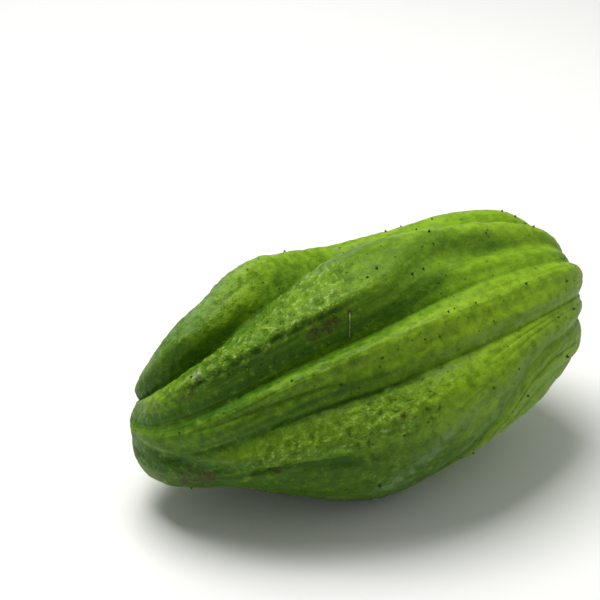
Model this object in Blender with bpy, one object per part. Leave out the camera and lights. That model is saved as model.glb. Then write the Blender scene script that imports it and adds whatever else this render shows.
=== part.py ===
"""Caigua: one fresh fruit, blossom end towards -X and stem end towards +X, lying on its belly.

The fruit is one closed skin. A sphere is drawn out along a bent core line, and each of its
meridians follows a rib or a groove. A stalk stub stands in the hollow of the stem end, and
short soft prickles stand on the ribs. Lengths are in millimetres here and become metres at the end.
"""
import math
import random
from collections import namedtuple

import bmesh
import bpy
import numpy as np
from mathutils import Vector

MM = 0.001

# The core line: five stations from the blossom end to the stem end.
STATIONS = (0.0, 0.25, 0.5, 0.75, 1.0)
CORE_LENGTH = 176.0
CORE_YAW = (-46.0, -14.0, 0.0, 5.0, 10.0)
CORE_PITCH = (5.0, 7.0, 6.0, 3.0, -10.0)
CORE_MIDDLE = (1.65, 0.6, 44.0)
CORE_STEPS = 800

# The body round the core line, before the ribs are raised on it.
BODY_STATIONS = (0.0, 0.12, 0.30, 0.50, 0.70, 0.88, 1.0)
BODY_RADIUS = (25.5, 31.5, 37.0, 40.0, 40.5, 35.5, 29.0)
BLOSSOM_BLUNTNESS = 3.6
STEM_BLUNTNESS = 3.0
RIB_FADE = 0.8

# A rib begins at its groove and runs to the next rib's groove. Angles go round the core line:
# 0 is up, 90 is the front and 180 is down. Each tuple gives the five stations.
#   groove: angle of the groove where the rib begins
#   valley, crest: height of the groove's floor and of the rib above the body
#   place: where the crest stands between the two grooves
#   rise, fall: how full the flanks before and after the crest are, 1 being straight
Rib = namedtuple("Rib", "name groove valley crest place rise fall")
MIDDLE = (0.5, 0.5, 0.5, 0.5, 0.5)
ROUND = (2.2, 2.2, 2.2, 2.2, 2.2)
RIBS = (
    Rib("shoulder", (52, -3, -42, -18, -14), (-8, -8.5, -6, -3, -2), (-3, 5.2, 6.8, 4, 6),
        (0.25, 0.65, 0.76, 0.36, 0.40), (2.0, 2.0, 2.2, 2.0, 2.0), (1.4, 1.0, 1.1, 1.5, 2.0)),
    Rib("front", (89, 47, 35, 32, 29), (-1, -3.2, -2.8, 0.4, -0.5), (1, 2, 3.5, 2.8, 5.5),
        (0.3, 0.3, 0.3, 0.4, 0.4), (2.2, 1.7, 1.7, 2.0, 2.2), (1.6, 1.2, 1.2, 1.5, 2.0)),
    Rib("belly", (121, 74, 64.5, 61, 57), (4, -1.6, -2.6, -0.2, -0.6), (11, 1.5, 6, 3.3, 1),
        (0.40, 0.30, 0.32, 0.36, 0.40), (2.2, 2.6, 2.6, 2.2, 2.2), (2.2, 2.2, 1.9, 1.7, 2.0)),
    Rib("low", (180, 172, 140, 80, 88), (0, -1, 3.0, 0.8, -3.0), (7, 0, 4, 1.5, 1.5),
        MIDDLE, ROUND, ROUND),
    Rib("under", (200, 195, 165, 103, 114), (0, 0, -1, -1, -1), (4, 0, 3.5, 0, 1),
        MIDDLE, ROUND, ROUND),
    Rib("rest", (222, 218, 195, 150, 150), (0, 0, -1, -1, -1), (2, 3, 3.5, 3, 3),
        MIDDLE, ROUND, ROUND),
    Rib("low back", (250, 240, 230, 200, 200), (0, 0, -1, -1, -1), (2, 3, 4, 4, 3),
        MIDDLE, ROUND, ROUND),
    Rib("back", (285, 275, 270, 250, 250), (0, 0, -1, -1, -1), (1, 3, 4, 4, 3),
        MIDDLE, ROUND, ROUND),
    Rib("crown", (332, 308, 300, 298, 300), (-2, -2, -2, -2, -1), (-3.5, 11.5, 6, 5, 11),
        MIDDLE, ROUND, ROUND),
)

# Narrow furrows that part a rib: angle, depth, half width in degrees. A negative depth is a ridge.
Furrow = namedtuple("Furrow", "name angle depth width")
FURROWS = (
    Furrow("shoulder", (30, 20, 12, 13, 13), (0, 0, 0.6, 4.2, 2.6), 7),
    Furrow("front", (86, 59, 51, 47.5, 46), (0.6, 1.3, 1.3, 0.6, 0.4), 3.5),
    Furrow("belly front", (95, 90, 79, 66.5, 65), (0.0, 0.0, 0.5, 1.3, 1.2), 4),
    Furrow("belly", (96, 100, 93, 90, 90), (0.6, 1.8, 0.8, 0.0, 0.0), 4.5),
    Furrow("belly ridge", (92, 87, 76, 70, 68), (0.0, -1.5, -1.2, 0.0, 0.0), 4.5),
    Furrow("fold ridge", (30, -6, -40, -60, -60), (-1.5, -3.0, 0.0, 0.0, 0.0), 6),
)

# Places where the fruit swelled more or less: share of length, angle, height, reach along, reach round.
Swelling = namedtuple("Swelling", "name share angle height along around")
SWELLINGS = (
    Swelling("belly", 0.42, 150, 6.0, 0.13, 35),
    Swelling("waist", 0.165, 134, -4.5, 0.08, 30),
    Swelling("blossom shoulder", 0.09, -1, 3.6, 0.05, 22),
    Swelling("blossom tip", 0.0, 56, -8.0, 0.045, 25),
    Swelling("crown", 0.45, -46, 1.5, 0.06, 20),
    Swelling("saddle", 0.67, -37, -2.4, 0.08, 20),
    Swelling("crown end", 0.90, -25, 2.0, 0.05, 20),
    Swelling("stem shoulder", 0.91, 32, 2.2, 0.04, 16),
    Swelling("stem front", 0.93, 82, -1.5, 0.05, 12),
    Swelling("stem low", 0.90, 103, 2.2, 0.06, 13),
    Swelling("low front", 0.75, 116, 2.2, 0.14, 22),
    Swelling("resting place", 0.56, 190, 2.5, 0.13, 18),
)

# The two ends.
STEM_HOLLOW_DEPTH = 10.0
STEM_HOLLOW_RADIUS = 15.0
BLOSSOM_SCAR_DEPTH = 1.2
BLOSSOM_SCAR_RADIUS = 5.0
STALK_BASE_RADIUS = 5.0
STALK_TIP_RADIUS = 3.6
STALK_LENGTH = 8.0
STALK_SUNK = 3.0
STALK_SIDES = 10

# The soft prickles.
PRICKLES_PER_RIB = 7
PRICKLE_SEED = 41
PRICKLE_BASE_RADIUS = 0.95
PRICKLE_TIP_RADIUS = 0.30
PRICKLE_LENGTH = 1.9
PRICKLE_SUNK = 0.9
PRICKLE_SIDES = 5
PRICKLE_ENDS_CLEAR = 0.10
PRICKLE_SPREAD = 0.22
PRICKLE_LOWEST = 9.0

# How finely the skin is divided, and the small step that measures its slope.
COLUMNS_PER_RIB = 10
RINGS = 52
SLOPE_STEP = 0.01

# The skin's finish.
SKIN_COLOUR = (0.13, 0.27, 0.03, 1)
SKIN_ROUGHNESS = 0.38
SKIN_WAX = 0.15


def smooth(stations, values, share):
    """Give the smooth curve through the stations' values at each share of the length."""
    stations = np.array(stations, float)
    values = np.array(values, float)
    slopes = np.gradient(values, stations)
    i = np.clip(np.searchsorted(stations, share) - 1, 0, len(stations) - 2)
    gap = stations[i + 1] - stations[i]
    u = np.clip((share - stations[i]) / gap, 0, 1)
    start = (1 + 2 * u) * (1 - u) ** 2 * values[i] + u * (1 - u) ** 2 * gap * slopes[i]
    end = u * u * (3 - 2 * u) * values[i + 1] + u * u * (u - 1) * gap * slopes[i + 1]
    return start + end


def along(values, share):
    """Give a five-station value at each share of the length."""
    return smooth(STATIONS, values, share)


def heading(share):
    """Give the core line's direction, its level side direction and its upward direction."""
    yaw = np.radians(along(CORE_YAW, share))
    pitch = np.radians(along(CORE_PITCH, share))
    forward = np.stack([np.cos(yaw) * np.cos(pitch), np.sin(yaw) * np.cos(pitch), np.sin(pitch)], -1)
    side = np.stack([-np.sin(yaw), np.cos(yaw), np.zeros_like(yaw)], -1)
    return forward, side, np.cross(forward, side)


def core_points(share):
    """Walk along the core line in small steps and give its points."""
    steps = np.linspace(0, 1, CORE_STEPS + 1)
    forward = heading(steps)[0]
    walked = np.cumsum((forward[1:] + forward[:-1]) / 2, 0) * CORE_LENGTH / CORE_STEPS
    walked = np.vstack([np.zeros((1, 3)), walked])
    walked += np.array(CORE_MIDDLE) - walked[CORE_STEPS // 2]
    return np.stack([np.interp(share, steps, walked[:, axis]) for axis in range(3)], -1)


def wrap(angle):
    """Bring angles in degrees between -180 and 180."""
    return (angle + 180) % 360 - 180


def rib_profile(share, turn):
    """Give angle and height of the ribs; turn counts ribs, its halves being the crests."""
    turn = np.mod(turn, len(RIBS))
    angle = np.zeros_like(share)
    height = np.zeros_like(share)
    for number, rib in enumerate(RIBS):
        on_rib = np.floor(turn) == number
        after = RIBS[(number + 1) % len(RIBS)]
        full_turn = 360 if number == len(RIBS) - 1 else 0
        part = turn[on_rib] - number
        at = share[on_rib]
        first = along(rib.groove, at)
        width = along(after.groove, at) + full_turn - first
        place = along(rib.place, at)
        across = np.where(part < 0.5, 2 * part * place, place + (2 * part - 1) * (1 - place))
        fullness = np.where(part < 0.5, along(rib.rise, at), along(rib.fall, at))
        floor = along(rib.valley, at) * (1 - across) + along(after.valley, at) * across
        raised = 1 - np.abs(2 * part - 1) ** fullness
        angle[on_rib] = first + across * width
        height[on_rib] = floor + (along(rib.crest, at) - floor) * raised
    return angle, height


def relief(share, turn):
    """Add the furrows and the swellings to the ribs."""
    angle, height = rib_profile(share, turn)
    for furrow in FURROWS:
        off = wrap(angle - along(furrow.angle, share))
        height -= along(furrow.depth, share) * np.exp(-(off / furrow.width) ** 2)
    for swelling in SWELLINGS:
        off = wrap(angle - swelling.angle)
        reach = ((share - swelling.share) / swelling.along) ** 2 + (off / swelling.around) ** 2
        height += swelling.height * np.exp(-reach)
    return angle, height


def skin_points(polar, turn):
    """Give the skin's points; polar runs from 0 at the blossom end to pi at the stem end."""
    share = (1 - np.cos(polar)) / 2
    bluntness = np.where(share < 0.5, BLOSSOM_BLUNTNESS, STEM_BLUNTNESS)
    closing = np.maximum(1 - np.abs(2 * share - 1) ** bluntness, 0) ** (1 / bluntness)
    angle, height = relief(share, turn)
    body = smooth(BODY_STATIONS, BODY_RADIUS, share) * closing
    radius = np.maximum(body + height * closing ** RIB_FADE, 0)
    hollow = STEM_HOLLOW_DEPTH * np.exp(-(radius / STEM_HOLLOW_RADIUS) ** 2)
    scar = BLOSSOM_SCAR_DEPTH * np.exp(-(radius / BLOSSOM_SCAR_RADIUS) ** 2)
    inward = np.where(share > 0.5, -hollow, scar)
    forward, side, up = heading(share)
    bearing = np.radians(angle)[:, None]
    outward = np.cos(bearing) * up - np.sin(bearing) * side
    points = core_points(share) + radius[:, None] * outward + inward[:, None] * forward
    points[:, 2] = np.maximum(points[:, 2], 0)
    return points


def point_and_normal(polar, turn):
    """Give one point of the skin and the direction that stands on it."""
    polars = np.array([polar, polar + SLOPE_STEP, polar, polar - SLOPE_STEP, polar])
    turns = np.array([turn, turn, turn + SLOPE_STEP, turn, turn - SLOPE_STEP])
    here, ahead, around, behind, before = skin_points(polars, turns)
    normal = Vector(np.cross(ahead - behind, around - before)).normalized()
    middle = Vector(core_points(np.array([(1 - math.cos(polar)) / 2]))[0])
    if normal.dot(Vector(here) - middle) < 0:
        normal.negate()
    return Vector(here), normal


def make_collection(name):
    """Make a collection in the scene."""
    collection = bpy.data.collections.new(name)
    bpy.context.scene.collection.children.link(collection)
    return collection


def mesh_object(name, bm, collection):
    """Turn an edited mesh into an object of the collection."""
    mesh = bpy.data.meshes.new(name)
    bm.to_mesh(mesh)
    bm.free()
    made = bpy.data.objects.new(name, mesh)
    collection.objects.link(made)
    return made


def make_body(collection):
    """Draw a sphere out into the ribbed fruit, its lowest places pressed flat on the ground."""
    bm = bmesh.new()
    bmesh.ops.create_uvsphere(bm, u_segments=COLUMNS_PER_RIB * len(RIBS), v_segments=RINGS, radius=1)
    places = np.array([vertex.co for vertex in bm.verts])
    polar = np.arccos(np.clip(-places[:, 2], -1, 1))
    turn = np.arctan2(places[:, 1], places[:, 0]) / math.tau * len(RIBS)
    turn = np.round(turn * COLUMNS_PER_RIB) / COLUMNS_PER_RIB
    for vertex, point in zip(bm.verts, skin_points(polar, turn)):
        vertex.co = Vector(point) * MM
    bmesh.ops.triangulate(bm, faces=bm.faces[:])
    return mesh_object("fruit", bm, collection)


def standing_cone(name, foot, direction, radii, lengths, sides, collection):
    """Make a cone stub on the skin, sunk below its foot and rising above it."""
    base_radius, tip_radius = radii
    length, sunk = lengths
    bm = bmesh.new()
    bmesh.ops.create_cone(bm, cap_ends=True, segments=sides, radius1=base_radius * MM,
                          radius2=tip_radius * MM, depth=length * MM)
    lift = (length / 2 - sunk) * MM
    bmesh.ops.translate(bm, verts=bm.verts, vec=(0, 0, lift))
    turning = direction.to_track_quat("Z", "Y").to_matrix()
    bmesh.ops.rotate(bm, verts=bm.verts, cent=(0, 0, 0), matrix=turning)
    bmesh.ops.translate(bm, verts=bm.verts, vec=foot * MM)
    return mesh_object(name, bm, collection)


def make_stalk(collection):
    """Make the dry stalk stub in the hollow of the stem end."""
    foot = Vector(skin_points(np.array([math.pi]), np.array([0.0]))[0])
    direction = Vector(heading(np.array([1.0]))[0][0])
    standing_cone("stalk", foot, direction, (STALK_BASE_RADIUS, STALK_TIP_RADIUS),
                  (STALK_LENGTH, STALK_SUNK), STALK_SIDES, collection)


def make_prickles(collection):
    """Scatter short soft prickles over the ribs, clear of the ends and of the resting place."""
    pick = random.Random(PRICKLE_SEED)
    for rib in range(len(RIBS)):
        for number in range(PRICKLES_PER_RIB):
            step = (number + pick.random()) / PRICKLES_PER_RIB
            share = PRICKLE_ENDS_CLEAR + (1 - 2 * PRICKLE_ENDS_CLEAR) * step
            turn = rib + 0.5 + pick.uniform(-PRICKLE_SPREAD, PRICKLE_SPREAD)
            foot, direction = point_and_normal(math.acos(1 - 2 * share), turn)
            if foot.z > PRICKLE_LOWEST:
                standing_cone(f"prickle_{rib}_{number}", foot, direction,
                              (PRICKLE_BASE_RADIUS, PRICKLE_TIP_RADIUS),
                              (PRICKLE_LENGTH, PRICKLE_SUNK), PRICKLE_SIDES, collection)


def fuse(body, additions):
    """Join the collection's solids with the body into one skin, then remove them."""
    joining = body.modifiers.new("fuse", "BOOLEAN")
    joining.operation = "UNION"
    joining.operand_type = "COLLECTION"
    joining.collection = additions
    joining.solver = "EXACT"
    bpy.context.view_layer.objects.active = body
    bpy.ops.object.modifier_apply(modifier=joining.name)
    for added in list(additions.objects):
        bpy.data.objects.remove(added)
    bpy.data.collections.remove(additions)


def paint(body):
    """Give the fruit its waxy green skin, shaded smooth."""
    skin = bpy.data.materials.new("caigua_skin")
    skin.use_nodes = True
    shader = skin.node_tree.nodes["Principled BSDF"]
    shader.inputs["Base Color"].default_value = SKIN_COLOUR
    shader.inputs["Roughness"].default_value = SKIN_ROUGHNESS
    shader.inputs["Coat Weight"].default_value = SKIN_WAX
    body.data.materials.clear()
    body.data.materials.append(skin)
    body.data.shade_smooth()


for old in list(bpy.data.objects):
    bpy.data.objects.remove(old)
fruit_collection = make_collection("caigua")
additions_collection = make_collection("fused_parts")
fruit = make_body(fruit_collection)
make_stalk(additions_collection)
make_prickles(additions_collection)
fuse(fruit, additions_collection)
paint(fruit)
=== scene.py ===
# %% [markdown]
# # A caigua on a pale table
# A caigua is the hollow green fruit of a climbing vine. This one is long and bent, deeply ribbed
# along its length, and lies on its belly. In this lesson its skin is drawn out of a sphere by a
# formula, given fine relief, and painted with patterns that follow the ribs.

import math
import random
from collections import namedtuple

import bmesh
import bpy
import numpy as np
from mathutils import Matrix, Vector, noise


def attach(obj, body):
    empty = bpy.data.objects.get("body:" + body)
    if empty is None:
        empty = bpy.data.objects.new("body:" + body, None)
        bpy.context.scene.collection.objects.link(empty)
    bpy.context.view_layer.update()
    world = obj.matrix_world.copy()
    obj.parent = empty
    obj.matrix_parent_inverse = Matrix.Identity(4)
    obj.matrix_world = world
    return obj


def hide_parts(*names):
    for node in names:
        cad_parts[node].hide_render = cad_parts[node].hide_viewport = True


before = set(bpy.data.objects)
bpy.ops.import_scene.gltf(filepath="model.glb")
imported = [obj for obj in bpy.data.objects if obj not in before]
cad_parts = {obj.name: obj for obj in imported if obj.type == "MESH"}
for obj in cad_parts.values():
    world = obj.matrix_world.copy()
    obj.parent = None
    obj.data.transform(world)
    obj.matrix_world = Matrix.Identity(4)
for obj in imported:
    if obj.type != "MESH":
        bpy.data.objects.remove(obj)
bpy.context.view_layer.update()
MM = 0.001

# %% [markdown]
# ## The camera
# The fruit is seen from its front, turned a little towards the blossom end, and from well above
# the table. A long lens keeps the near ribs from looking swollen. The camera comes first, because
# every later choice is judged through it.

# %% Camera
CAMERA_TARGET = (-22.35, 11.1, 71.0)
CAMERA_DISTANCE = 520.0
CAMERA_AZIMUTH = -25.0
CAMERA_ELEVATION = 33.0
CAMERA_LENS = 88.0


def direction_to(azimuth, elevation):
    """Give the direction that points to a place round the fruit; azimuth 0 is the front."""
    bearing, above = math.radians(azimuth), math.radians(elevation)
    flat = math.cos(above)
    return Vector((math.sin(bearing) * flat, -math.cos(bearing) * flat, math.sin(above)))


def aim(thing, place, target):
    """Put a camera or a light at a place and turn it to a target, both in millimetres."""
    place, target = Vector(place), Vector(target)
    thing.location = place * MM
    thing.rotation_euler = (target - place).to_track_quat("-Z", "Y").to_euler()


camera = bpy.data.objects.new("camera", bpy.data.cameras.new("camera"))
bpy.context.scene.collection.objects.link(camera)
camera.data.lens = CAMERA_LENS
camera_back = direction_to(CAMERA_AZIMUTH, CAMERA_ELEVATION)
aim(camera, Vector(CAMERA_TARGET) + camera_back * CAMERA_DISTANCE, CAMERA_TARGET)
bpy.context.scene.camera = camera
print("camera at", [round(value, 3) for value in camera.location])

# %% [markdown]
# ## The core line
# A bent fruit is easiest to describe along the line through its middle. The line's heading is
# given at five stations from the blossom end to the stem end, and smooth curves join them.

# %% The core line
STATIONS = (0.0, 0.25, 0.5, 0.75, 1.0)
CORE_LENGTH = 176.0
CORE_YAW = (-46.0, -14.0, 0.0, 5.0, 10.0)
CORE_PITCH = (5.0, 7.0, 6.0, 3.0, -10.0)
CORE_MIDDLE = (1.65, 0.6, 44.0)
CORE_STEPS = 800


def smooth(stations, values, share):
    """Give the smooth curve through the stations' values at each share of the length."""
    stations = np.array(stations, float)
    values = np.array(values, float)
    slopes = np.gradient(values, stations)
    left = np.clip(np.searchsorted(stations, share) - 1, 0, len(stations) - 2)
    right = left + 1
    gap = stations[right] - stations[left]
    way = np.clip((share - stations[left]) / gap, 0, 1)
    start = (1 + 2 * way) * (1 - way) ** 2 * values[left]
    start += way * (1 - way) ** 2 * gap * slopes[left]
    end = way * way * (3 - 2 * way) * values[right] + way * way * (way - 1) * gap * slopes[right]
    return start + end


def along(values, share):
    """Give a five-station value at each share of the length."""
    return smooth(STATIONS, values, share)


def heading(share):
    """Give the core line's direction, its level side direction and its upward direction."""
    yaw = np.radians(along(CORE_YAW, share))
    pitch = np.radians(along(CORE_PITCH, share))
    forward = np.stack([np.cos(yaw) * np.cos(pitch), np.sin(yaw) * np.cos(pitch), np.sin(pitch)], -1)
    side = np.stack([-np.sin(yaw), np.cos(yaw), np.zeros_like(yaw)], -1)
    return forward, side, np.cross(forward, side)


def core_points(share):
    """Walk along the core line in small steps and give its points."""
    steps = np.linspace(0, 1, CORE_STEPS + 1)
    forward = heading(steps)[0]
    walked = np.cumsum((forward[1:] + forward[:-1]) / 2, 0) * CORE_LENGTH / CORE_STEPS
    walked = np.vstack([np.zeros((1, 3)), walked])
    walked += np.array(CORE_MIDDLE) - walked[CORE_STEPS // 2]
    return np.stack([np.interp(share, steps, walked[:, axis]) for axis in range(3)], -1)


print("blossom end and stem end of the core:", core_points(np.array([0.0, 1.0])).round(1).tolist())

# %% [markdown]
# ## The ribs
# Nine ribs run from end to end. Each begins at a groove and is told by five numbers per trait:
# where the groove lies round the fruit, how deep it is, how high the crest stands, where the crest
# stands between the grooves, and how full the two flanks are. Narrow furrows part some ribs
# lightly, and swellings show where the fruit grew more or less.

# %% The ribs, furrows and swellings
Rib = namedtuple("Rib", "name groove valley crest place rise fall")
MIDDLE = (0.5, 0.5, 0.5, 0.5, 0.5)
ROUND = (2.2, 2.2, 2.2, 2.2, 2.2)
RIBS = (
    Rib("shoulder", (52, -3, -42, -18, -14), (-8, -8.5, -6, -3, -2), (-3, 5.2, 6.8, 4, 6),
        (0.25, 0.65, 0.76, 0.36, 0.40), (2.0, 2.0, 2.2, 2.0, 2.0), (1.4, 1.0, 1.1, 1.5, 2.0)),
    Rib("front", (89, 47, 35, 32, 29), (-1, -3.2, -2.8, 0.4, -0.5), (1, 2, 3.5, 2.8, 5.5),
        (0.3, 0.3, 0.3, 0.4, 0.4), (2.2, 1.7, 1.7, 2.0, 2.2), (1.6, 1.2, 1.2, 1.5, 2.0)),
    Rib("belly", (121, 74, 64.5, 61, 57), (4, -1.6, -2.6, -0.2, -0.6), (11, 1.5, 6, 3.3, 1),
        (0.40, 0.30, 0.32, 0.36, 0.40), (2.2, 2.6, 2.6, 2.2, 2.2), (2.2, 2.2, 1.9, 1.7, 2.0)),
    Rib("low", (180, 172, 140, 80, 88), (0, -1, 3.0, 0.8, -3.0), (7, 0, 4, 1.5, 1.5),
        MIDDLE, ROUND, ROUND),
    Rib("under", (200, 195, 165, 103, 114), (0, 0, -1, -1, -1), (4, 0, 3.5, 0, 1),
        MIDDLE, ROUND, ROUND),
    Rib("rest", (222, 218, 195, 150, 150), (0, 0, -1, -1, -1), (2, 3, 3.5, 3, 3),
        MIDDLE, ROUND, ROUND),
    Rib("low back", (250, 240, 230, 200, 200), (0, 0, -1, -1, -1), (2, 3, 4, 4, 3),
        MIDDLE, ROUND, ROUND),
    Rib("back", (285, 275, 270, 250, 250), (0, 0, -1, -1, -1), (1, 3, 4, 4, 3),
        MIDDLE, ROUND, ROUND),
    Rib("crown", (332, 308, 300, 298, 300), (-2, -2, -2, -2, -1), (-3.5, 11.5, 6, 5, 11),
        MIDDLE, ROUND, ROUND),
)
Furrow = namedtuple("Furrow", "name angle depth width")
FURROWS = (
    Furrow("shoulder", (30, 20, 12, 13, 13), (0, 0, 0.6, 4.2, 2.6), 7),
    Furrow("front", (86, 59, 51, 47.5, 46), (0.6, 1.3, 1.3, 0.6, 0.4), 3.5),
    Furrow("belly front", (95, 90, 79, 66.5, 65), (0.0, 0.0, 0.5, 1.3, 1.2), 4),
    Furrow("belly", (96, 100, 93, 90, 90), (0.6, 1.8, 0.8, 0.0, 0.0), 4.5),
    Furrow("belly ridge", (92, 87, 76, 70, 68), (0.0, -1.5, -1.2, 0.0, 0.0), 4.5),
    Furrow("fold ridge", (30, -6, -40, -60, -60), (-1.5, -3.0, 0.0, 0.0, 0.0), 6),
)
Swelling = namedtuple("Swelling", "name share angle height along around")
SWELLINGS = (
    Swelling("belly", 0.42, 150, 6.0, 0.13, 35),
    Swelling("waist", 0.165, 134, -4.5, 0.08, 30),
    Swelling("blossom shoulder", 0.09, -1, 3.6, 0.05, 22),
    Swelling("blossom tip", 0.0, 56, -8.0, 0.045, 25),
    Swelling("crown", 0.45, -46, 1.5, 0.06, 20),
    Swelling("saddle", 0.67, -37, -2.4, 0.08, 20),
    Swelling("crown end", 0.90, -25, 2.0, 0.05, 20),
    Swelling("stem shoulder", 0.91, 32, 2.2, 0.04, 16),
    Swelling("stem front", 0.93, 82, -1.5, 0.05, 12),
    Swelling("stem low", 0.90, 103, 2.2, 0.06, 13),
    Swelling("low front", 0.75, 116, 2.2, 0.14, 22),
    Swelling("resting place", 0.56, 190, 2.5, 0.13, 18),
)


def wrap(angle):
    """Bring angles in degrees between -180 and 180."""
    return (angle + 180) % 360 - 180


def rib_profile(share, turn):
    """Give angle and height of the ribs; turn counts ribs, its halves being the crests."""
    turn = np.mod(turn, len(RIBS))
    angle = np.zeros_like(share)
    height = np.zeros_like(share)
    for number, rib in enumerate(RIBS):
        on_rib = np.floor(turn) == number
        after = RIBS[(number + 1) % len(RIBS)]
        full_turn = 360 if number == len(RIBS) - 1 else 0
        part = turn[on_rib] - number
        at = share[on_rib]
        first = along(rib.groove, at)
        width = along(after.groove, at) + full_turn - first
        place = along(rib.place, at)
        across = np.where(part < 0.5, 2 * part * place, place + (2 * part - 1) * (1 - place))
        fullness = np.where(part < 0.5, along(rib.rise, at), along(rib.fall, at))
        floor = along(rib.valley, at) * (1 - across) + along(after.valley, at) * across
        raised = 1 - np.abs(2 * part - 1) ** fullness
        angle[on_rib] = first + across * width
        height[on_rib] = floor + (along(rib.crest, at) - floor) * raised
    return angle, height


def relief(share, turn):
    """Add the furrows and the swellings to the ribs."""
    angle, height = rib_profile(share, turn)
    for furrow in FURROWS:
        off = wrap(angle - along(furrow.angle, share))
        height -= along(furrow.depth, share) * np.exp(-(off / furrow.width) ** 2)
    for swelling in SWELLINGS:
        off = wrap(angle - swelling.angle)
        reach = ((share - swelling.share) / swelling.along) ** 2 + (off / swelling.around) ** 2
        height += swelling.height * np.exp(-reach)
    return angle, height


print("ribs:", ", ".join(rib.name for rib in RIBS))

# %% [markdown]
# ## From the core to the skin
# Each point of the skin stands on the core line at some share of its length, out by the body's
# radius plus the ribs' height. Both ends close like a blunt egg. The stem end sinks into a hollow,
# and the lowest places are pressed flat where the fruit lies on the table.

# %% The skin's points
BODY_STATIONS = (0.0, 0.12, 0.30, 0.50, 0.70, 0.88, 1.0)
BODY_RADIUS = (25.5, 31.5, 37.0, 40.0, 40.5, 35.5, 29.0)
BLOSSOM_BLUNTNESS = 3.6
STEM_BLUNTNESS = 3.0
RIB_FADE = 0.8
STEM_HOLLOW_DEPTH = 10.0
STEM_HOLLOW_RADIUS = 15.0
BLOSSOM_SCAR_DEPTH = 1.2
BLOSSOM_SCAR_RADIUS = 5.0


def skin_points(polar, turn):
    """Give the skin's points; polar runs from 0 at the blossom end to pi at the stem end."""
    share = (1 - np.cos(polar)) / 2
    bluntness = np.where(share < 0.5, BLOSSOM_BLUNTNESS, STEM_BLUNTNESS)
    closing = np.maximum(1 - np.abs(2 * share - 1) ** bluntness, 0) ** (1 / bluntness)
    angle, height = relief(share, turn)
    body = smooth(BODY_STATIONS, BODY_RADIUS, share) * closing
    radius = np.maximum(body + height * closing ** RIB_FADE, 0)
    hollow = STEM_HOLLOW_DEPTH * np.exp(-(radius / STEM_HOLLOW_RADIUS) ** 2)
    scar = BLOSSOM_SCAR_DEPTH * np.exp(-(radius / BLOSSOM_SCAR_RADIUS) ** 2)
    inward = np.where(share > 0.5, -hollow, scar)
    forward, side, up = heading(share)
    bearing = np.radians(angle)[:, None]
    outward = np.cos(bearing) * up - np.sin(bearing) * side
    points = core_points(share) + radius[:, None] * outward + inward[:, None] * forward
    points[:, 2] = np.maximum(points[:, 2], 0)
    return points


def polar_of(share):
    """Give the polar angle that lies at a share of the length."""
    return math.acos(1 - 2 * share)


def place_on_skin(share, turn):
    """Give one place on the skin in millimetres."""
    return Vector(skin_points(np.array([polar_of(share)]), np.array([float(turn)]))[0])


print("a place on the shoulder crest:", [round(value, 1) for value in place_on_skin(0.6, 0.5)])

# %% [markdown]
# ## A sphere drawn out into the fruit
# A sphere has poles and meridians as a fruit has ends and ribs, so its points need only be moved
# to their places on the skin. Broad ribs get more meridians than narrow ones, so the relief is
# about equally fine on all that show, and the ribs below get fewer. The mesh has 195,120
# triangles. The mesh still has under 200,000 triangles.

# %% Draw the sphere out
RIB_COLUMNS = (48, 40, 72, 52, 26, 26, 30, 30, 36)
RINGS = 272

skin_bm = bmesh.new()
bmesh.ops.create_uvsphere(skin_bm, u_segments=sum(RIB_COLUMNS), v_segments=RINGS, radius=1)
sphere_places = np.array([vertex.co for vertex in skin_bm.verts])
skin_polar = np.arccos(np.clip(-sphere_places[:, 2], -1, 1))
skin_column = np.arctan2(sphere_places[:, 1], sphere_places[:, 0]) / math.tau * sum(RIB_COLUMNS)
skin_column = np.mod(np.round(skin_column), sum(RIB_COLUMNS))
skin_turn = np.interp(skin_column, np.cumsum((0,) + RIB_COLUMNS), np.arange(len(RIBS) + 1))
skin_share = (1 - np.cos(skin_polar)) / 2
skin_places = skin_points(skin_polar, skin_turn)
for vertex, point in zip(skin_bm.verts, skin_places):
    vertex.co = Vector(point) * MM
skin_bm.normal_update()
print("skin points:", len(skin_bm.verts))

# %% [markdown]
# ## Coordinates that follow the fruit
# Streaks and veins run along the ribs, so a pattern needs coordinates that do the same. The fruit
# is thought of as straightened: the share of its length becomes a height, and the rib count
# becomes a way round a cylinder. On a cylinder no seam can show.

# %% Straightened coordinates
CYLINDER_RADIUS = 38.0


def straightened(share, turn):
    """Give the place on the straightened fruit in millimetres."""
    bearing = turn / len(RIBS) * math.tau
    return np.stack([np.cos(bearing) * CYLINDER_RADIUS, np.sin(bearing) * CYLINDER_RADIUS,
                     share * CORE_LENGTH], -1)


skin_straight = straightened(skin_share, skin_turn)
skin_crest = 1 - np.abs(2 * np.mod(skin_turn, 1) - 1) ** 2
print("straightened fruit:", skin_straight.min(0).round(1), "to", skin_straight.max(0).round(1))
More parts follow.
